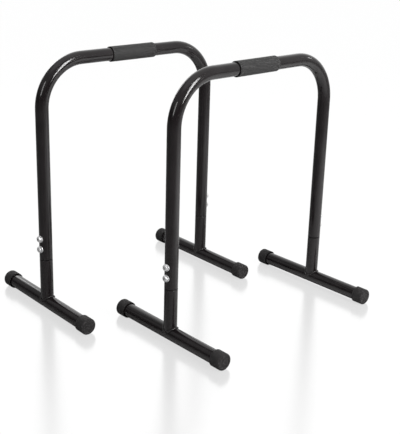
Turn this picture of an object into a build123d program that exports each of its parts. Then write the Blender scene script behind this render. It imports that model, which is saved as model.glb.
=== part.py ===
from build123d import *
import os

# Dip station: a pair of separate free-standing stands. Each is an inverted U of round steel tube, bolted to
# two short uprights that are welded to straight cross feet. All sizes are in millimetres.
# Z is up from the floor, Y runs along the crossbars from front to rear, and X runs from the left stand to
# the right one. Each stand is built about its own centre on the floor, and then placed.

# How the pair stands on the floor
STAND_SPACING = 378.0
STAND_STAGGER = 153.0
STAND_TURN = 0.7

# Bent handle tube
LEG_SPACING = 610.0
CROSSBAR_HEIGHT = 742.0
BEND_RADIUS = 133.5
FRAME_TUBE_OD = 38.1
FRAME_TUBE_WALL = 1.5
SEAM_HEIGHT = 160.0
SEAM_GAP = 1.6
RIM_ROUND = 0.8

# Joining sleeve inside each leg
SLEEVE_WALL = 2.0
SLEEVE_BELOW_SEAM = 75.0
SLEEVE_PAST_BOLTS = 28.0
SLEEVE_FIT = 0.15

# Bolts, washers and nuts in each leg
BOLT_COUNT = 2
BOLT_ABOVE_SEAM = 34.0
BOLT_PITCH = 32.0
BOLT_DIAMETER = 10.0
BOLT_LENGTH = 20.0
BOLT_TIP_BREAK = 1.0
HEAD_DIAMETER = 17.5
HEAD_HEIGHT = 5.5
HEAD_EDGE_HEIGHT = 1.4
HEAD_TOP_MARGIN = 0.6
SOCKET_WIDTH = 6.0
SOCKET_DEPTH = 3.1
WASHER_DIAMETER = 21.0
WASHER_THICKNESS = 2.0
WASHER_CLEARANCE = 0.2
SEAT_GAP = 0.05
BOLT_HOLE_CLEARANCE = 0.5
NUT_DIAMETER = 14.0
NUT_LENGTH = 10.0
NUT_FIT = 0.05
THREAD_CLEARANCE = 0.05

# Cross foot and the weld that joins it to its upright
FOOT_LENGTH = 433.0
FOOT_TUBE_OD = 40.0
FOOT_TUBE_WALL = 1.5
WELD_SIZE = 4.0
WELD_ROUND = 3.0
WELD_GAP = 0.05

# Rubber end cap
CAP_LENGTH = 35.0
CAP_WALL = 3.9
CAP_FIT = 0.1
CAP_END_THICKNESS = 6.0
CAP_END_ROUND = 5.0
CAP_MOUTH_BREAK = 0.8
CAP_RIM_WIDTH = 7.5
CAP_DISH_DEPTH = 0.8
REST_FLAT_DEPTH = 0.5

# Foam grip
GRIP_LENGTH = 158.0
GRIP_WALL = 3.35
GRIP_FIT = 0.1
GRIP_END_ROUND = 1.5
LEFT_GRIP_OFFSET = 7.5
RIGHT_GRIP_OFFSET = -7.5

# Sizes that follow from the ones above
LEG_RADIUS = FRAME_TUBE_OD / 2
LEG_BORE = LEG_RADIUS - FRAME_TUBE_WALL
SLEEVE_RADIUS = LEG_BORE - SLEEVE_FIT
SLEEVE_BORE = SLEEVE_RADIUS - SLEEVE_WALL
HANDLE_END_HEIGHT = SEAM_HEIGHT + SEAM_GAP
FOOT_RADIUS = FOOT_TUBE_OD / 2
CAP_BORE = FOOT_RADIUS + CAP_FIT
CAP_RADIUS = CAP_BORE + CAP_WALL
FOOT_AXIS_HEIGHT = CAP_RADIUS - REST_FLAT_DEPTH
FOOT_TUBE_LENGTH = FOOT_LENGTH - 2 * CAP_END_THICKNESS
GRIP_BORE = LEG_RADIUS + GRIP_FIT
GRIP_RADIUS = GRIP_BORE + GRIP_WALL
NUT_RADIUS = NUT_DIAMETER / 2
NUT_SEAT = (SLEEVE_RADIUS**2 - NUT_RADIUS**2) ** 0.5
BOLT_RADIUS = BOLT_DIAMETER / 2
WASHER_SEAT = LEG_RADIUS + SEAT_GAP
HEAD_SEAT = WASHER_SEAT + WASHER_THICKNESS + SEAT_GAP
BOLT_HEIGHTS = [SEAM_HEIGHT + BOLT_ABOVE_SEAM + i * BOLT_PITCH for i in range(BOLT_COUNT)]

# Each leg's side of its stand along Y, which is also the way that its bolts face
LEGS = {"front": -1, "rear": 1}
# Each stand's side of the pair along X, which is also the way that the outer ends of its feet point
STANDS = {"left": -1, "right": 1}
GRIP_OFFSETS = {"left": LEFT_GRIP_OFFSET, "right": RIGHT_GRIP_OFFSET}


def bar(radius, start, end):
    """A round bar about Z, from height start to height end."""
    return Pos(0, 0, start) * Cylinder(radius, end - start, align=(Align.CENTER, Align.CENTER, Align.MIN))


def rims(solid, height, radius):
    """The circular edges of a solid at that height with that radius."""
    level = solid.edges().filter_by(GeomType.CIRCLE).filter_by_position(Axis.Z, height - 0.01, height + 0.01)
    return [edge for edge in level if abs(edge.radius - radius) < 0.01]


def foot_bar(radius, length):
    """A round bar along X about the foot's axis, centred under the leg."""
    return Pos(0, 0, FOOT_AXIS_HEIGHT) * Rot(0, 90, 0) * Cylinder(radius, length)


def under_leg(side, piece):
    """Moves a piece that was made about the stand's centre to one leg."""
    return Pos(0, side * LEG_SPACING / 2, 0) * piece


def at_each_bolt(side, piece):
    """One copy of a fastener piece at each bolt of a leg. The piece's own Z points straight out of the leg."""
    copies = []
    for height in BOLT_HEIGHTS:
        place = Plane(origin=(0, side * LEG_SPACING / 2, height), x_dir=(1, 0, 0), z_dir=(0, side, 0))
        copies.append(place * piece)
    return copies


def handle_tube():
    """Two legs and a crossbar bent from one tube, with a hole through the outer wall at each bolt."""
    half = LEG_SPACING / 2
    path = FilletPolyline(
        (0, -half, HANDLE_END_HEIGHT),
        (0, -half, CROSSBAR_HEIGHT),
        (0, half, CROSSBAR_HEIGHT),
        (0, half, HANDLE_END_HEIGHT),
        radius=BEND_RADIUS,
    )
    start = Plane(origin=path @ 0, z_dir=path % 0)
    outside = sweep(start * Circle(LEG_RADIUS), path=path)
    outside = fillet(rims(outside, HANDLE_END_HEIGHT, LEG_RADIUS), RIM_ROUND)
    solid = outside - sweep(start * Circle(LEG_BORE), path=path)
    hole = bar(BOLT_RADIUS + BOLT_HOLE_CLEARANCE, 0, FRAME_TUBE_OD)
    for side in LEGS.values():
        for cutter in at_each_bolt(side, hole):
            solid -= cutter
    return solid


def foam_grip(offset):
    """A foam sleeve on the crossbar, with softened ends."""
    sleeve = bar(GRIP_RADIUS, 0, GRIP_LENGTH) - bar(GRIP_BORE, 0, GRIP_LENGTH)
    sleeve = fillet(rims(sleeve, 0, GRIP_RADIUS) + rims(sleeve, GRIP_LENGTH, GRIP_RADIUS), GRIP_END_ROUND)
    return Pos(0, offset + GRIP_LENGTH / 2, CROSSBAR_HEIGHT) * Rot(90, 0, 0) * sleeve


def upright(side):
    """The lower end of a leg, coped over the foot tube below and ending just under the handle tube."""
    stub = bar(LEG_RADIUS, FOOT_AXIS_HEIGHT, SEAM_HEIGHT) - bar(LEG_BORE, FOOT_AXIS_HEIGHT, SEAM_HEIGHT)
    stub = fillet(rims(stub, SEAM_HEIGHT, LEG_RADIUS), RIM_ROUND)
    stub -= foot_bar(FOOT_RADIUS + WELD_GAP, 2 * FRAME_TUBE_OD)
    return under_leg(side, stub)


def joining_sleeve(side):
    """The inner tube fixed in the upright, which the handle tube's leg is bolted over, with a hole for each nut."""
    bottom = SEAM_HEIGHT - SLEEVE_BELOW_SEAM
    top = BOLT_HEIGHTS[-1] + SLEEVE_PAST_BOLTS
    sleeve = under_leg(side, bar(SLEEVE_RADIUS, bottom, top) - bar(SLEEVE_BORE, bottom, top))
    for cutter in at_each_bolt(side, bar(NUT_RADIUS + NUT_FIT, 0, FRAME_TUBE_OD)):
        sleeve -= cutter
    return sleeve


def weld_bead(side):
    """The bead in the corner between an upright and its foot tube, down to the foot's axis at the sides."""
    reach = FOOT_RADIUS + WELD_SIZE
    top = FOOT_AXIS_HEIGHT + reach
    bead = bar(LEG_RADIUS + WELD_SIZE, FOOT_AXIS_HEIGHT, top) & foot_bar(reach, 3 * FRAME_TUBE_OD)
    bead -= bar(LEG_RADIUS + WELD_GAP, 0, top)
    bead -= foot_bar(FOOT_RADIUS + WELD_GAP, 3 * FRAME_TUBE_OD)
    ridge = bead.edges().sort_by(SortBy.LENGTH)[-1]
    return under_leg(side, fillet(ridge, min(WELD_ROUND, 0.8 * WELD_SIZE)))


def bolt():
    """A button-head screw with a hexagon socket, its head seated on the washer and its shank pointing in."""
    crown = HEAD_DIAMETER / 2
    edge = HEAD_SEAT + HEAD_EDGE_HEIGHT
    top = HEAD_SEAT + HEAD_HEIGHT
    socket = RegularPolygon(SOCKET_WIDTH / 2, 6, major_radius=False)
    flat = socket.vertices()[0].center().length + HEAD_TOP_MARGIN
    sides = Polyline((flat, 0, top), (0, 0, top), (0, 0, HEAD_SEAT), (crown, 0, HEAD_SEAT), (crown, 0, edge))
    dome = TangentArc((crown, 0, edge), (flat, 0, top), tangent=(0, 0, 1))
    head = revolve(make_face(sides.edges() + dome.edges()), Axis.Z)
    head -= Pos(0, 0, top - SOCKET_DEPTH) * extrude(socket, HEAD_HEIGHT)
    tip = HEAD_SEAT - BOLT_LENGTH
    shank = bar(BOLT_RADIUS, tip, HEAD_SEAT)
    return head + chamfer(rims(shank, tip, BOLT_RADIUS), BOLT_TIP_BREAK)


def washer():
    """A round washer curved to lie on the leg, whose own axis runs along this piece's Y."""
    blank = Rot(90, 0, 0) * (
        Cylinder(WASHER_SEAT + WASHER_THICKNESS, 2 * WASHER_DIAMETER) - Cylinder(WASHER_SEAT, 2 * WASHER_DIAMETER)
    )
    blank &= bar(WASHER_DIAMETER / 2, 0, HEAD_SEAT)
    return blank - bar(BOLT_RADIUS + WASHER_CLEARANCE, 0, HEAD_SEAT)


def weld_nut():
    """A round nut set in the sleeve's wall, its outer end kept inside the sleeve's outside curve."""
    start = NUT_SEAT - NUT_LENGTH
    return bar(NUT_RADIUS, start, NUT_SEAT) - bar(BOLT_RADIUS + THREAD_CLEARANCE, start, NUT_SEAT)


def foot_tube(side):
    """The straight cross foot, open at both ends inside its caps."""
    hollow = foot_bar(FOOT_RADIUS, FOOT_TUBE_LENGTH) - foot_bar(FOOT_RADIUS - FOOT_TUBE_WALL, FOOT_TUBE_LENGTH)
    return under_leg(side, hollow)


def end_cap(side, end):
    """A rubber cap pushed over one end of a foot tube, with a dished end face and a flat to stand on."""
    cap = bar(CAP_RADIUS, 0, CAP_LENGTH)
    cap = fillet(rims(cap, CAP_LENGTH, CAP_RADIUS), CAP_END_ROUND)
    cap = chamfer(rims(cap, 0, CAP_RADIUS), CAP_MOUTH_BREAK)
    cap -= bar(CAP_BORE, 0, CAP_LENGTH - CAP_END_THICKNESS)
    cap -= bar(CAP_RADIUS - CAP_RIM_WIDTH, CAP_LENGTH - CAP_DISH_DEPTH, CAP_LENGTH)
    mouth = FOOT_LENGTH / 2 - CAP_LENGTH
    cap = Pos(end * mouth, 0, FOOT_AXIS_HEIGHT) * Rot(0, end * 90, 0) * cap
    under_floor = Box(2 * FOOT_LENGTH, 4 * CAP_RADIUS, 2 * CAP_RADIUS, align=(Align.CENTER, Align.CENTER, Align.MAX))
    return under_leg(side, cap - under_floor)


def stand(outward, grip_offset):
    """Every piece of one stand about its own centre, by name. Outward is the way its outer cap points."""
    pieces = {"handle_tube": [handle_tube()], "foam_grip": [foam_grip(grip_offset)]}
    for leg, side in LEGS.items():
        pieces[leg + "_upright"] = [upright(side)]
        pieces[leg + "_joining_sleeve"] = [joining_sleeve(side)]
        pieces[leg + "_weld"] = [weld_bead(side)]
        pieces[leg + "_foot_tube"] = [foot_tube(side)]
        pieces[leg + "_outer_cap"] = [end_cap(side, outward)]
        pieces[leg + "_inner_cap"] = [end_cap(side, -outward)]
        pieces[leg + "_bolts"] = at_each_bolt(side, bolt())
        pieces[leg + "_washers"] = at_each_bolt(side, washer())
        pieces[leg + "_weld_nuts"] = at_each_bolt(side, weld_nut())
    return pieces


os.makedirs("parts", exist_ok=True)
for name, sign in STANDS.items():
    on_floor = Pos(sign * STAND_SPACING / 2, sign * STAND_STAGGER / 2, 0) * Rot(0, 0, sign * STAND_TURN)
    for piece, solids in stand(sign, GRIP_OFFSETS[name]).items():
        placed = [on_floor * solid for solid in solids]
        shape = placed[0] if len(placed) == 1 else Compound(children=placed)
        export_step(shape, f"parts/{name}_{piece}.step")
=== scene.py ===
import math

import bmesh
import bpy
from mathutils import Matrix, Vector


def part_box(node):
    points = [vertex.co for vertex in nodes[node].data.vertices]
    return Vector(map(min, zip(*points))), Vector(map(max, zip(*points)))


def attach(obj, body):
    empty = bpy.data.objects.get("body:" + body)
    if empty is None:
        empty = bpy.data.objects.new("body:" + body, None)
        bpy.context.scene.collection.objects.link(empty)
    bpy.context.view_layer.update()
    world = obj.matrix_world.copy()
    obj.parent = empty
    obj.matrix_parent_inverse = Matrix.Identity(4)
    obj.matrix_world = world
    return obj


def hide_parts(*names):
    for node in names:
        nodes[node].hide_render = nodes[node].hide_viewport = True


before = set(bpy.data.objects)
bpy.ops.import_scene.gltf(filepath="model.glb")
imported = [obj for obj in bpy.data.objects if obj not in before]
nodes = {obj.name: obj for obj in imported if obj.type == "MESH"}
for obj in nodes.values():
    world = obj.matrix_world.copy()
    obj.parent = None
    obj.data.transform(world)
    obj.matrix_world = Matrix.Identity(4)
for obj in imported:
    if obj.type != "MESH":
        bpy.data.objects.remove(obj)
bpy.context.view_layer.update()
bpy.ops.object.select_all(action="DESELECT")

# Weld nuts
# Two round nuts of bare turned steel are welded into the wall of each joining sleeve, for the bolts to thread
# into. They hide inside the leg.
STANDS = ("left", "right")
LEGS = ("front", "rear")
MM = 0.001
STEEL_GREY = (0.40, 0.40, 0.41, 1)
STEEL_OILED = (0.27, 0.265, 0.26, 1)
STEEL_ROUGHNESS = 0.34
TURNED_LINE = 0.15 * MM
TURNED_LINE_LENGTH = 4 * MM
TURNED_LINE_DEPTH = 0.01 * MM


def plain_material(name, roughness=0.5, metallic=0.0, specular=0.5):
    """A new material with one Principled shader, and what its nodes hang on: (material, tree, shader)."""
    made = bpy.data.materials.new(name)
    made.use_nodes = True
    shader = made.node_tree.nodes["Principled BSDF"]
    shader.inputs["Roughness"].default_value = roughness
    shader.inputs["Metallic"].default_value = metallic
    shader.inputs["Specular IOR Level"].default_value = specular
    return made, made.node_tree, shader


def grain(tree, size, detail=2.0, stretch=(1, 1, 1), kind="ShaderNodeTexNoise"):
    """A pattern on Object coordinates, with cells of that size in metres, times stretch along each axis."""
    coordinates = tree.nodes.new("ShaderNodeTexCoord")
    spread = tree.nodes.new("ShaderNodeMapping")
    spread.inputs["Scale"].default_value = [1 / (size * longer) for longer in stretch]
    pattern = tree.nodes.new(kind)
    pattern.inputs["Scale"].default_value = 1
    pattern.inputs["Detail"].default_value = detail
    tree.links.new(coordinates.outputs["Object"], spread.inputs["Vector"])
    tree.links.new(spread.outputs["Vector"], pattern.inputs["Vector"])
    return pattern.outputs[0]


def between(tree, pattern, low, high, start=0.35, end=0.65):
    """Numbers or colours that run from low to high as the pattern goes from start to end."""
    if isinstance(low, tuple):
        ramp = tree.nodes.new("ShaderNodeValToRGB")
        ramp.color_ramp.elements[0].position = start
        ramp.color_ramp.elements[0].color = low
        ramp.color_ramp.elements[1].position = end
        ramp.color_ramp.elements[1].color = high
        tree.links.new(pattern, ramp.inputs["Fac"])
        return ramp.outputs["Color"]
    spread = tree.nodes.new("ShaderNodeMapRange")
    for socket, value in {"From Min": start, "From Max": end, "To Min": low, "To Max": high}.items():
        spread.inputs[socket].default_value = value
    tree.links.new(pattern, spread.inputs["Value"])
    return spread.outputs["Result"]


def relief(tree, shader, pattern, depth, under=None):
    """Turns a pattern into a relief of that depth in metres, over another one where it is given."""
    bump = tree.nodes.new("ShaderNodeBump")
    bump.inputs["Distance"].default_value = depth
    tree.links.new(pattern, bump.inputs["Height"])
    if under is not None:
        tree.links.new(under, bump.inputs["Normal"])
    tree.links.new(bump.outputs["Normal"], shader.inputs["Normal"])
    return bump.outputs["Normal"]


def wear_material(material, *pieces):
    """Puts the material in every slot of these objects."""
    for piece in pieces:
        if not piece.material_slots:
            piece.data.materials.append(material)
        for slot in piece.material_slots:
            slot.material = material


bare_steel, tree, shader = plain_material("bare_turned_steel", roughness=STEEL_ROUGHNESS, metallic=1.0)
line_stretch = TURNED_LINE_LENGTH / TURNED_LINE
turned = grain(tree, TURNED_LINE, stretch=(line_stretch, 1, line_stretch))
tree.links.new(between(tree, turned, STEEL_OILED, STEEL_GREY), shader.inputs["Base Color"])
relief(tree, shader, turned, TURNED_LINE_DEPTH)
for stand in STANDS:
    for leg in LEGS:
        wear_material(bare_steel, nodes[f"{stand}_{leg}_weld_nuts"])

# Foot tubes, uprights and joining sleeves
# Round steel tube, cut to length and coped, welded up with the sleeve that stands up out of each upright, and
# powder coated in gloss black. The coat flows out smooth, with faint orange peel, and draws back from the cut
# ends at the seam. The sleeve is rubbed dull where the handle tube slides over it, and its near-black colour
# is painted shade for the gap at the seam.
COAT_BLACK = (0.0046, 0.0034, 0.0037, 1)
COAT_GREY = (0.0070, 0.0055, 0.0059, 1)
COAT_CLOUD = 45 * MM
COAT_SMOOTH = 0.09
COAT_DULL = 0.14
ORANGE_PEEL = 2.2 * MM
ORANGE_PEEL_DEPTH = 0.005 * MM
COAT_GRIT = 0.5 * MM
COAT_GRIT_DEPTH = 0.0006 * MM
COAT_EDGE = 2 * MM
COAT_EDGE_FALL = 0.9 * MM
# The sleeve's near-black base colour is painted shade for the gap at the seam; its lighter streaks are
# scuffs.
SLEEVE_PAINTED_SHADE = (0.0020, 0.0018, 0.0018, 1)
SLEEVE_RUBBED = (0.0045, 0.0042, 0.0042, 1)
SLEEVE_ROUGHNESS = 0.6
SLEEVE_SHINE = 0.2
SLEEVE_SCUFF = 1.5 * MM
SCUFF_STRETCH = 6


def coat_material(name, smoothest, dullest):
    """Clouded black powder coat, its roughness in that range: (material, tree, shader, orange peel)."""
    made, tree, shader = plain_material(name)
    cloud = grain(tree, COAT_CLOUD, detail=3.0)
    tree.links.new(between(tree, cloud, COAT_BLACK, COAT_GREY), shader.inputs["Base Color"])
    tree.links.new(between(tree, cloud, smoothest, dullest), shader.inputs["Roughness"])
    peel = relief(tree, shader, grain(tree, ORANGE_PEEL, detail=1.0), ORANGE_PEEL_DEPTH)
    return made, tree, shader, peel


def number_node(tree, operation, *values):
    """The result of that sum on numbers or sockets."""
    made = tree.nodes.new("ShaderNodeMath")
    made.operation = operation
    for socket, value in zip(made.inputs, values):
        if isinstance(value, float):
            socket.default_value = value
        else:
            tree.links.new(value, socket)
    return made.outputs["Value"]


powder_coat, tree, shader, peel = coat_material("gloss_black_powder_coat", COAT_SMOOTH, COAT_DULL)
grit = relief(tree, shader, grain(tree, COAT_GRIT, detail=1.0), COAT_GRIT_DEPTH, under=peel)

upright_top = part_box("left_front_upright")[1][2]
handle_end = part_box("left_handle_tube")[0][2]
seam_middle = (upright_top + handle_end) / 2
half_gap = (handle_end - upright_top) / 2
coordinates = tree.nodes.new("ShaderNodeTexCoord")
split = tree.nodes.new("ShaderNodeSeparateXYZ")
tree.links.new(coordinates.outputs["Object"], split.inputs["Vector"])
above_seam = number_node(tree, "SUBTRACT", split.outputs["Z"], seam_middle)
from_seam = number_node(tree, "ABSOLUTE", above_seam)
near_edge = between(tree, from_seam, 1.0, 0.0, half_gap, half_gap + COAT_EDGE)
fall = number_node(tree, "MULTIPLY", near_edge, near_edge)
relief(tree, shader, number_node(tree, "SUBTRACT", 1.0, fall), COAT_EDGE_FALL, under=grit)

# Painted shade for the seam's gap, streaked lighter where the sleeve is rubbed.
sleeve_shade_and_scuffs, tree, shader = plain_material(
    "sleeve_painted_shade_and_scuffs", roughness=SLEEVE_ROUGHNESS, specular=SLEEVE_SHINE)
scuffs = grain(tree, SLEEVE_SCUFF, detail=3.0, stretch=(1, 1, SCUFF_STRETCH))
tree.links.new(between(tree, scuffs, SLEEVE_PAINTED_SHADE, SLEEVE_RUBBED), shader.inputs["Base Color"])
for stand in STANDS:
    for leg in LEGS:
        wear_material(powder_coat, nodes[f"{stand}_{leg}_foot_tube"], nodes[f"{stand}_{leg}_upright"])
        wear_material(sleeve_shade_and_scuffs, nodes[f"{stand}_{leg}_joining_sleeve"])

# Weld beads
# The fillet that joins each upright to its foot, laid by hand as a row of overlapping drops of molten steel
# and coated over with the tubes. The coat comes out duller on it than on the smooth tubes.
UP = Vector((0, 0, 1))
WELD_DROPS = 44
DROP_RADIUS = 3.2 * MM
DROP_UNEVEN = 0.22 * MM
DROP_BEAT = 2.4
DROP_SWAY = 0.9
DROP_OUT = 1.0 * MM
BEAD_VOXEL = 0.4 * MM
BEAD_EASE = 0.5
BEAD_FLOW = 12
BEAD_DULL = 0.36
BEAD_DULLEST = 0.46


def leg_place(stand, leg):
    """Where a leg stands on the floor, turned as its stand is: X runs along the foot, Y to the rear."""
    spots = {}
    for end in LEGS:
        low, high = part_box(f"{stand}_{end}_upright")
        spots[end] = (Vector(low) + Vector(high)) / 2
    bar_way = spots["rear"] - spots["front"]
    bar_way.z = 0
    bar_way.normalize()
    turned = Matrix((bar_way.cross(UP), bar_way, UP)).transposed().to_4x4()
    return Matrix.Translation((spots[leg].x, spots[leg].y, 0)) @ turned


def extent(node, place):
    """The lowest and highest corners of a CAD node, measured along the axes of that place."""
    back = place.inverted()
    points = [back @ vertex.co for vertex in nodes[node].data.vertices]
    return Vector(map(min, zip(*points))), Vector(map(max, zip(*points)))


def select_only(piece):
    """Makes the piece the one that operators and modifiers act on."""
    bpy.ops.object.select_all(action="DESELECT")
    piece.select_set(True)
    bpy.context.view_layer.objects.active = piece


def apply_modifier(piece, kind, **settings):
    """Adds a modifier with those settings and applies it."""
    select_only(piece)
    made = piece.modifiers.new(kind.lower(), kind)
    for name, value in settings.items():
        setattr(made, name, value)
    bpy.ops.object.modifier_apply(modifier=made.name)


def finish_mesh(piece, place, angle=40):
    """Leaves the piece unturned at the origin, its place in its mesh, and edges over that angle sharp."""
    select_only(piece)
    bpy.ops.object.transform_apply(location=True, rotation=True, scale=True)
    piece.data.transform(place)
    bpy.ops.object.shade_smooth_by_angle(angle=math.radians(angle))


def copied(piece, name, step):
    """A copy with its own mesh, moved by that step."""
    twin = piece.copy()
    twin.data = piece.data.copy()
    twin.data.transform(step)
    twin.name = name
    bpy.context.scene.collection.objects.link(twin)
    return twin


coated_bead = coat_material("dull_coat_over_weld", BEAD_DULL, BEAD_DULLEST)[0]

bead_place = leg_place("left", "front")
upright_high = extent("left_front_upright", bead_place)[1]
foot_low, foot_high = extent("left_front_foot_tube", bead_place)
leg_radius = upright_high.x
foot_radius = (foot_high.y - foot_low.y) / 2
foot_height = (foot_high.z + foot_low.z) / 2
drops = []
for number in range(WELD_DROPS):
    around = 2 * math.pi * number / WELD_DROPS
    across = leg_radius * math.sin(around)
    rise = math.sqrt(foot_radius ** 2 - across ** 2)
    out_of_leg = Vector((math.cos(around), math.sin(around), 0))
    out_of_foot = Vector((0, across, rise)).normalized()
    corner = Vector((leg_radius * math.cos(around), across, foot_height + rise))
    drop_spot = corner + DROP_OUT * (out_of_leg + out_of_foot).normalized()
    drop_radius = DROP_RADIUS + DROP_UNEVEN * math.sin(DROP_BEAT * number) * math.sin(DROP_SWAY * number)
    bpy.ops.mesh.primitive_ico_sphere_add(subdivisions=3, radius=drop_radius, location=drop_spot)
    drops.append(bpy.context.object)
bpy.ops.object.select_all(action="DESELECT")
for drop in drops:
    drop.select_set(True)
bpy.ops.object.join()
bead = bpy.context.object
bead.name = "left_front_weld_bead"
apply_modifier(bead, "REMESH", mode="VOXEL", voxel_size=BEAD_VOXEL)
apply_modifier(bead, "SMOOTH", factor=BEAD_EASE, iterations=BEAD_FLOW)
finish_mesh(bead, bead_place, angle=180)
wear_material(coated_bead, bead)
for stand in STANDS:
    for leg in LEGS:
        step = leg_place(stand, leg) @ bead_place.inverted()
        name = f"{stand}_{leg}_weld_bead"
        piece = bead if name == bead.name else copied(bead, name, step)
        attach(piece, f"{stand}_stand")
        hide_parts(f"{stand}_{leg}_weld")

# Rubber caps
# Thick black rubber, moulded as a closed cup and pushed over each end of a foot. The end is dished inside a
# rounded rim, the mouth is funnelled to start on the tube, and the foot stands on a flat at the lowest line.
CLOSE = 0.02 * MM
SQUARE_ON = 0.9
CUT_EXACT = 0.001 * MM
CAP_SIDES = 96
CAP_FIT = 0.1 * MM
CAP_END = 6 * MM
CAP_END_ROUND = 5 * MM
CAP_END_STEPS = 8
CAP_RIM = 7.5 * MM
CAP_DISH_SLOPE = 1.2 * MM
CAP_DISH = 0.8 * MM
CAP_RING = 5 * MM
CAP_RING_WIDTH = 1.2 * MM
CAP_RING_DEPTH = 0.5 * MM
CAP_MOUTH_ROUND = 0.6 * MM
CAP_MOUTH_STEPS = 3
CAP_FUNNEL = 2.2 * MM
CAP_LIP = 1.3 * MM
RUBBER_BLACK = (0.0118, 0.0109, 0.0110, 1)
RUBBER_GREY = (0.0172, 0.0161, 0.0163, 1)
RUBBER_CLOUD = 12 * MM
RUBBER_SMOOTH = 0.62
RUBBER_DULL = 0.70
RUBBER_SHINE = 0.2
RUBBER_GRAIN = 0.35 * MM
RUBBER_GRAIN_DEPTH = 0.012 * MM


def pick(kind, wanted):
    """In edit mode, selects the faces or edges that wanted says yes to, and nothing else."""
    bpy.ops.mesh.select_mode(type=kind)
    bpy.ops.mesh.select_all(action="DESELECT")
    mesh = bpy.context.object.data
    shape = bmesh.from_edit_mesh(mesh)
    shape.normal_update()
    for item in (shape.faces if kind == "FACE" else shape.edges):
        if wanted(item):
            item.select_set(True)
    shape.select_flush_mode()
    bmesh.update_edit_mesh(mesh)


def ring_at(along, radius):
    """For pick: the edges of the circle of that radius round the X axis, at that place along it."""
    def on_ring(vertex):
        return abs(vertex.co.x - along) < CLOSE and abs(vertex.co.yz.length - radius) < CLOSE
    return lambda edge: all(on_ring(end) for end in edge.verts)


rubber, tree, shader = plain_material("moulded_black_rubber", specular=RUBBER_SHINE)
mottle = grain(tree, RUBBER_CLOUD, detail=3.0)
tree.links.new(between(tree, mottle, RUBBER_BLACK, RUBBER_GREY), shader.inputs["Base Color"])
tree.links.new(between(tree, mottle, RUBBER_SMOOTH, RUBBER_DULL), shader.inputs["Roughness"])
relief(tree, shader, grain(tree, RUBBER_GRAIN), RUBBER_GRAIN_DEPTH)

cap_place = leg_place("right", "front")
cap_low, cap_high = extent("right_front_outer_cap", cap_place)
cap_radius = (cap_high.y - cap_low.y) / 2
cap_height = cap_high.z - cap_radius
cap_length = cap_high.x - cap_low.x
bore_radius = foot_radius + CAP_FIT
end_at = cap_length / 2
mouth_at = -cap_length / 2
bpy.ops.mesh.primitive_cylinder_add(
    vertices=CAP_SIDES, radius=cap_radius, depth=cap_length, rotation=(0, math.pi / 2, 0))
cap = bpy.context.object
cap.name = "right_front_outer_rubber_cap"
bpy.ops.object.transform_apply(location=True, rotation=True, scale=True)
bpy.ops.object.mode_set(mode="EDIT")
pick("FACE", lambda face: face.normal.x < -SQUARE_ON)
bpy.ops.mesh.inset(thickness=CAP_LIP)
bpy.ops.mesh.inset(thickness=cap_radius - bore_radius - CAP_LIP, depth=-CAP_FUNNEL)
bpy.ops.mesh.extrude_region_move(TRANSFORM_OT_translate={"value": (cap_length - CAP_END - CAP_FUNNEL, 0, 0)})
pick("FACE", lambda face: face.normal.x > SQUARE_ON and face.calc_center_median().x > end_at - CLOSE)
bpy.ops.mesh.inset(thickness=CAP_RIM)
bpy.ops.mesh.inset(thickness=CAP_DISH_SLOPE, depth=-CAP_DISH)
bpy.ops.mesh.inset(thickness=CAP_RING)
bpy.ops.mesh.inset(thickness=CAP_RING_WIDTH, depth=CAP_RING_DEPTH)
bpy.ops.mesh.inset(thickness=CAP_RING_WIDTH)
bpy.ops.mesh.inset(thickness=CAP_RING_WIDTH, depth=-CAP_RING_DEPTH)
pick("EDGE", ring_at(end_at, cap_radius))
bpy.ops.mesh.bevel(offset=CAP_END_ROUND, segments=CAP_END_STEPS)
pick("EDGE", ring_at(mouth_at, cap_radius))
bpy.ops.mesh.bevel(offset=CAP_MOUTH_ROUND, segments=CAP_MOUTH_STEPS)
bpy.ops.mesh.select_all(action="SELECT")
bpy.ops.mesh.bisect(
    plane_co=(0, 0, -cap_height), plane_no=(0, 0, 1), use_fill=True, clear_inner=True, threshold=CUT_EXACT)
bpy.ops.object.mode_set(mode="OBJECT")
cap.data.transform(Matrix.Translation(((cap_low.x + cap_high.x) / 2, 0, cap_height)))
finish_mesh(cap, cap_place)
wear_material(rubber, cap)
for stand in STANDS:
    for leg in LEGS:
        for end in ("outer", "inner"):
            points_right = (stand == "right") == (end == "outer")
            half_turn = Matrix.Rotation(0 if points_right else math.pi, 4, "Z")
            step = leg_place(stand, leg) @ half_turn @ cap_place.inverted()
            name = f"{stand}_{leg}_{end}_rubber_cap"
            piece = cap if name == cap.name else copied(cap, name, step)
            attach(piece, f"{stand}_stand")
            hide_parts(f"{stand}_{leg}_{end}_cap")

# Handle tubes
# One length of the same steel tube each, bent twice on a mandrel and powder coated with the feet. Its two
# open ends come down over the joining sleeves, and two bolts hold each of them there.
for stand in STANDS:
    wear_material(powder_coat, nodes[f"{stand}_handle_tube"])

# Washers and bolts
# Bright zinc-plated steel, slightly clouded. A washer lies under each button head, against the outer side of
# the leg, and the bolt goes through the tube and the sleeve into its nut.
ZINC_GREY = (0.50, 0.50, 0.51, 1)
ZINC_BRIGHT = (0.58, 0.58, 0.58, 1)
ZINC_METAL = 0.6
ZINC_SMOOTH = 0.34
ZINC_DULL = 0.48
ZINC_BLOOM = 3 * MM

zinc, tree, shader = plain_material("bright_zinc_plate", metallic=ZINC_METAL)
bloom = grain(tree, ZINC_BLOOM, detail=3.0)
tree.links.new(between(tree, bloom, ZINC_GREY, ZINC_BRIGHT), shader.inputs["Base Color"])
tree.links.new(between(tree, bloom, ZINC_SMOOTH, ZINC_DULL), shader.inputs["Roughness"])
for stand in STANDS:
    for leg in LEGS:
        wear_material(zinc, nodes[f"{stand}_{leg}_bolts"], nodes[f"{stand}_{leg}_washers"])
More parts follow.
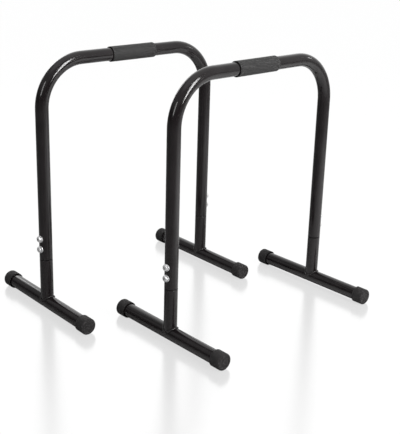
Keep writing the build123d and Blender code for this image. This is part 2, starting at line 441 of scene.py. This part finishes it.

# Foam grips
# A sleeve of closed-cell foam, cut square from a long tube and slid onto the crossbar with soapy water. Its
# skin is matt and finely pored and never quite even. Its cut ends show the cells, coloured near black as
# painted shade for the dark ring where the foam ends.
GRIP_SIDES = 128
GRIP_CUTS = 80
GRIP_END_ROUND = 1.5 * MM
GRIP_END_STEPS = 4
GRIP_FIT = 0.1 * MM
GRIP_UNEVEN = 0.3 * MM
GRIP_WAVE = 28 * MM
FOAM_DARK = (0.0172, 0.0168, 0.0168, 1)
FOAM_LIGHT = (0.0200, 0.0196, 0.0196, 1)
FOAM_ROUGHNESS = 0.6
FOAM_SHINE = 0.3
FOAM_CLOUD = 9 * MM
FOAM_PORE = 0.8 * MM
FOAM_PORE_DEPTH = 0.1 * MM
FOAM_CELL = 0.5 * MM
# The cut ends' colours are painted shade, near black for the dark ring at each end; the cells only vary it.
CUT_END_SHADE_DARK = (0.0015, 0.0015, 0.0015, 1)
CUT_END_SHADE_LIGHT = (0.0060, 0.0060, 0.0060, 1)
CELL_FROM = 0.1
CELL_TO = 0.7
CELL_ROUGHNESS = 0.95
CELL_SHINE = 0.1


def climb(edge):
    """How far an edge goes along Z."""
    return abs(edge.verts[0].co.z - edge.verts[1].co.z)


def on_skin(vertex, radius):
    """Whether a vertex lies on the outside of an upright cylinder of that radius."""
    return vertex.co.xy.length > radius - CLOSE


foam, tree, shader = plain_material("closed_cell_foam", roughness=FOAM_ROUGHNESS, specular=FOAM_SHINE)
mottle = grain(tree, FOAM_CLOUD, detail=4.0)
tree.links.new(between(tree, mottle, FOAM_DARK, FOAM_LIGHT), shader.inputs["Base Color"])
relief(tree, shader, grain(tree, FOAM_PORE), FOAM_PORE_DEPTH)
foam_end_shade, tree, shader = plain_material("foam_end_cells_painted_shade", roughness=CELL_ROUGHNESS, specular=CELL_SHINE)
cells = grain(tree, FOAM_CELL, kind="ShaderNodeTexVoronoi")
tree.links.new(between(tree, cells, CUT_END_SHADE_DARK, CUT_END_SHADE_LIGHT, CELL_FROM, CELL_TO), shader.inputs["Base Color"])
relief(tree, shader, cells, FOAM_CELL)

skin_wave = bpy.data.textures.new("foam_skin_wave", "CLOUDS")
skin_wave.noise_scale = GRIP_WAVE
for stand in STANDS:
    place = leg_place(stand, "front")
    grip_low, grip_high = extent(f"{stand}_foam_grip", place)
    grip_radius = (grip_high.x - grip_low.x) / 2
    grip_length = grip_high.y - grip_low.y
    grip_middle = (grip_low + grip_high) / 2
    bpy.ops.mesh.primitive_cylinder_add(vertices=GRIP_SIDES, radius=grip_radius, depth=grip_length)
    grip = bpy.context.object
    grip.name = f"{stand}_foam_sleeve"
    bpy.ops.object.mode_set(mode="EDIT")
    pick("FACE", lambda face: abs(face.normal.z) > SQUARE_ON)
    bpy.ops.mesh.inset(thickness=grip_radius - leg_radius - GRIP_FIT)
    pick("FACE", lambda face: abs(face.normal.z) > SQUARE_ON and len(face.verts) == GRIP_SIDES)
    bpy.ops.mesh.bridge_edge_loops()
    pick("EDGE", lambda edge: climb(edge) < CLOSE and all(on_skin(end, grip_radius) for end in edge.verts))
    bpy.ops.mesh.bevel(offset=GRIP_END_ROUND, segments=GRIP_END_STEPS)
    pick("EDGE", lambda edge: climb(edge) > grip_length / 2 and on_skin(edge.verts[0], grip_radius))
    bpy.ops.mesh.subdivide(number_cuts=GRIP_CUTS)
    bpy.ops.object.mode_set(mode="OBJECT")
    skin = grip.vertex_groups.new(name="skin")
    outside = [vertex.index for vertex in grip.data.vertices if on_skin(vertex, grip_radius)]
    skin.add(outside, 1.0, "REPLACE")
    apply_modifier(
        grip, "DISPLACE", texture=skin_wave, mid_level=1.0, strength=GRIP_UNEVEN, vertex_group=skin.name)
    grip.data.transform(Matrix.Translation(grip_middle) @ Matrix.Rotation(-math.pi / 2, 4, "X"))
    finish_mesh(grip, place)
    wear_material(foam, grip)
    # The end faces take the second material, whose near-black colour is painted shade.
    grip.data.materials.append(foam_end_shade)
    along_bar = place.to_3x3().col[1]
    for face in grip.data.polygons:
        if abs(face.normal.dot(along_bar)) > SQUARE_ON:
            face.material_index = 1
    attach(grip, f"{stand}_stand")
    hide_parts(f"{stand}_foam_grip")

# Studio floor
# A sheet of white acrylic under a clear film, lit to plain white, that mirrors the stands faintly. The coat's
# gloss sees a painted pool of light in its colour, bright behind the stands and falling off towards the
# camera. What the floor itself mirrors has passed the film, which lets the walls and softboxes be plain white
# to it.
FLOOR_SIZE = 60.0
FLOOR_DROP = 0.1 * MM
FILM_DROP = 0.05 * MM
WHITE = (1, 1, 1, 1)
FLOOR_GLOW = 0.99
FLOOR_SHADE = 0.05
FLOOR_MIRROR = 0.28
FLOOR_SATIN = 0.21
FLOOR_GLOSS = 0.05
FLOOR_SHEEN = 0.4
# The painted pool of light: the floor's colour for the coat's gloss, bright near its centre and dim far off.
PAINTED_POOL_CENTRE = (0.9, 0.75, 0)
PAINTED_POOL_BRIGHT = 0.75
PAINTED_POOL_DIM = 0.18
PAINTED_POOL_INSIDE = 0.35
PAINTED_POOL_OUTSIDE = 1.5


def empty_material(name):
    """A new material without a shader: (material, tree)."""
    made = bpy.data.materials.new(name)
    made.use_nodes = True
    made.node_tree.nodes.remove(made.node_tree.nodes["Principled BSDF"])
    return made, made.node_tree


def show_shader(tree, shader):
    """Puts a shader's socket on the material's surface."""
    tree.links.new(shader, tree.nodes["Material Output"].inputs["Surface"])


def white_mirror(tree, roughness):
    """A white mirror of that roughness."""
    made = tree.nodes.new("ShaderNodeBsdfGlossy")
    made.inputs["Color"].default_value = WHITE
    made.inputs["Roughness"].default_value = roughness
    return made.outputs["BSDF"]


def blend_shaders(tree, share, low, high):
    """A shader that goes from low to high with share, which is a number or a socket."""
    mix = tree.nodes.new("ShaderNodeMixShader")
    if isinstance(share, float):
        mix.inputs["Fac"].default_value = share
    else:
        tree.links.new(share, mix.inputs["Fac"])
    tree.links.new(low, mix.inputs[1])
    tree.links.new(high, mix.inputs[2])
    return mix.outputs["Shader"]


bpy.ops.mesh.primitive_plane_add(size=FLOOR_SIZE, location=(0, 0, -FLOOR_DROP))
floor = bpy.context.object
floor.name = "studio_floor"
acrylic, tree = empty_material("white_acrylic")
glow = tree.nodes.new("ShaderNodeEmission")
glow.inputs["Strength"].default_value = FLOOR_GLOW
sheet = tree.nodes.new("ShaderNodeBsdfDiffuse")
sheet.inputs["Color"].default_value = WHITE
matt = blend_shaders(tree, FLOOR_SHADE, glow.outputs["Emission"], sheet.outputs["BSDF"])
seen = blend_shaders(tree, FLOOR_MIRROR, matt, white_mirror(tree, FLOOR_SATIN))
coordinates = tree.nodes.new("ShaderNodeTexCoord")
away = tree.nodes.new("ShaderNodeVectorMath")
away.operation = "DISTANCE"
away.inputs[1].default_value = PAINTED_POOL_CENTRE
tree.links.new(coordinates.outputs["Object"], away.inputs[0])
# Painted pool of light: the colour falls from bright to dim with distance from the pool's centre.
painted_pool = between(tree, away.outputs["Value"], PAINTED_POOL_BRIGHT, PAINTED_POOL_DIM, PAINTED_POOL_INSIDE, PAINTED_POOL_OUTSIDE)
lit = tree.nodes.new("ShaderNodeBsdfDiffuse")
tree.links.new(painted_pool, lit.inputs["Color"])
mirrored = blend_shaders(tree, FLOOR_SHEEN, lit.outputs["BSDF"], white_mirror(tree, FLOOR_GLOSS))
path = tree.nodes.new("ShaderNodeLightPath")
show_shader(tree, blend_shaders(tree, path.outputs["Is Camera Ray"], mirrored, seen))
wear_material(acrylic, floor)

bpy.ops.mesh.primitive_plane_add(size=FLOOR_SIZE, location=(0, 0, -FILM_DROP))
film = bpy.context.object
film.name = "clear_floor_film"
film.visible_diffuse = False
film.visible_shadow = False
clear_film, tree = empty_material("clear_film")
show_shader(tree, tree.nodes.new("ShaderNodeBsdfTransparent").outputs["BSDF"])
wear_material(clear_film, film)

# Studio walls
# A white sweep stands behind the stands, brighter at the left, the ceiling is pale, and the room is dim. The
# camera and the floor's mirror see only plain white, and matt surfaces get an even fill. As each kind of ray
# sees walls of its own, no one map of them is sampled.
SWEEP_TURN = 185
SWEEP_FROM = 0.05
SWEEP_TO = 0.4
SWEEP_LIGHT = 0.7
SWEEP_BRIGHT = 1.25
SWEEP_BRIGHT_TURN = 240
SWEEP_BRIGHT_FROM = 0.3
SWEEP_BRIGHT_TO = 0.9
CEILING_LIGHT = 0.85
CEILING_FROM = 0.78
CEILING_TO = 0.9
ROOM_LIGHT = 0.36
ROOM_DARK = 0.07
ROOM_FROM = 0.2
ROOM_TO = 0.5
FILL_LIGHT = 1.0
PLAIN_WHITE = 1.0


def facing(tree, way, turn):
    """How nearly a way points to that turn, where 0 is the front and 90 the right, with 1 straight at it."""
    product = tree.nodes.new("ShaderNodeVectorMath")
    product.operation = "DOT_PRODUCT"
    product.inputs[1].default_value = (math.sin(math.radians(turn)), -math.cos(math.radians(turn)), 0)
    tree.links.new(way, product.inputs[0])
    return product.outputs["Value"]


def blend_numbers(tree, share, low, high):
    """A number that goes from low to high with share, where each may be a number or a socket."""
    mix = tree.nodes.new("ShaderNodeMix")
    for socket, value in ((0, share), (2, low), (3, high)):
        if isinstance(value, float):
            mix.inputs[socket].default_value = value
        else:
            tree.links.new(value, mix.inputs[socket])
    return mix.outputs[0]


def off_the_floor(tree, path):
    """One where the ray's first mirror was the floor under its film, and otherwise nothing."""
    past_film = number_node(tree, "GREATER_THAN", path.outputs["Transparent Depth"], 0.5)
    mirrored_once = number_node(tree, "LESS_THAN", path.outputs["Glossy Depth"], 1.5)
    return number_node(tree, "MULTIPLY", past_film, mirrored_once)


world = bpy.data.worlds.new("studio")
bpy.context.scene.world = world
world.use_nodes = True
world.cycles.sampling_method = "NONE"
tree = world.node_tree
background = tree.nodes["Background"]
background.inputs["Color"].default_value = WHITE
coordinates = tree.nodes.new("ShaderNodeTexCoord")
way = coordinates.outputs["Generated"]
split = tree.nodes.new("ShaderNodeSeparateXYZ")
tree.links.new(way, split.inputs["Vector"])
way_up = split.outputs["Z"]
path = tree.nodes.new("ShaderNodeLightPath")

room = between(tree, way_up, ROOM_DARK, ROOM_LIGHT, ROOM_FROM, ROOM_TO)
to_the_left = facing(tree, way, SWEEP_BRIGHT_TURN)
sweep = between(tree, to_the_left, SWEEP_LIGHT, SWEEP_BRIGHT, SWEEP_BRIGHT_FROM, SWEEP_BRIGHT_TO)
on_sweep = between(tree, facing(tree, way, SWEEP_TURN), 0.0, 1.0, SWEEP_FROM, SWEEP_TO)
walls = blend_numbers(tree, on_sweep, room, sweep)
on_ceiling = between(tree, way_up, 0.0, 1.0, CEILING_FROM, CEILING_TO)
walls = blend_numbers(tree, on_ceiling, walls, CEILING_LIGHT)
shown = blend_numbers(tree, path.outputs["Is Diffuse Ray"], walls, FILL_LIGHT)
shown = blend_numbers(tree, path.outputs["Is Camera Ray"], shown, PLAIN_WHITE)
shown = blend_numbers(tree, off_the_floor(tree, path), shown, PLAIN_WHITE)
tree.links.new(shown, background.inputs["Strength"])

# Softboxes
# They stand where the streaks on the tubes say: a strong one at the right, weak ones in front and behind, and
# a small one near the far bends. Each is an area light and a bright face that the coat's gloss mirrors once.
# A row gives its place, width, height and brightness.
AIM = Vector((0, 0, 0.4))
SOFTBOXES = {
    "side": ((2.97, 0.42, 2.0), 0.9, 2.1, 28.0),
    "front": ((0.60, -2.93, 1.90), 0.8, 1.3, 6.0),
    "back": ((-2.84, 0.45, 1.36), 1.0, 1.15, 4.5),
    "rim": ((0.70, 1.62, 1.25), 0.20, 0.20, 10.0),
}

for name, (spot, width, height, brightness) in SOFTBOXES.items():
    facing_stands = (AIM - Vector(spot)).to_track_quat("-Z", "Y")
    lamp = bpy.data.lights.new(f"{name}_lamp", "AREA")
    lamp.shape = "RECTANGLE"
    lamp.size = width
    lamp.size_y = height
    lamp.energy = brightness * math.pi * width * height
    softbox = bpy.data.objects.new(f"{name}_softbox", lamp)
    bpy.context.scene.collection.objects.link(softbox)
    softbox.location = spot
    softbox.rotation_euler = facing_stands.to_euler()
    softbox.visible_camera = False
    softbox.visible_glossy = False
    bpy.ops.mesh.primitive_plane_add(size=1)
    face = bpy.context.object
    face.name = f"{name}_softbox_face"
    face.data.transform(Matrix.LocRotScale(Vector(spot), facing_stands, Vector((width, height, 1))))
    face.visible_camera = False
    face.visible_diffuse = False
    face.visible_shadow = False
    fabric, tree = empty_material(f"{name}_softbox_fabric")
    path = tree.nodes.new("ShaderNodeLightPath")
    mirrored_once = between(tree, path.outputs["Glossy Depth"], brightness, 0.0, 1.0, 2.0)
    shown = blend_numbers(tree, off_the_floor(tree, path), mirrored_once, PLAIN_WHITE)
    glowing = tree.nodes.new("ShaderNodeEmission")
    tree.links.new(shown, glowing.inputs["Strength"])
    show_shader(tree, glowing.outputs["Emission"])
    wear_material(fabric, face)

# Camera
# The photograph's own view, fitted to the edges of the tubes: the camera stands high at the front right and
# looks down at the pair. The picture is cropped, so the lens's middle row isn't the picture's.
VIEW_TURN = math.radians(47.06)
VIEW_FALL = math.radians(17.762)
VIEW_ROLL = math.radians(1.651)
CAMERA_SPOT = (1.80169, -1.62904, 1.15601)
FOCUS_PIXELS = 851.146
PICTURE_HEIGHT = 434
LENS_ROW = 180

camera_data = bpy.data.cameras.new("camera")
camera_data.lens = FOCUS_PIXELS * camera_data.sensor_width / PICTURE_HEIGHT
camera_data.shift_y = (LENS_ROW - PICTURE_HEIGHT / 2) / PICTURE_HEIGHT
camera = bpy.data.objects.new("camera", camera_data)
bpy.context.scene.collection.objects.link(camera)
turn = Matrix.Rotation(VIEW_TURN, 4, "Z")
tilt = Matrix.Rotation(math.pi / 2 - VIEW_FALL, 4, "X")
roll = Matrix.Rotation(VIEW_ROLL, 4, "Z")
camera.matrix_world = Matrix.Translation(CAMERA_SPOT) @ turn @ tilt @ roll
bpy.context.scene.camera = camera
bpy.context.scene.view_settings.view_transform = "Standard"
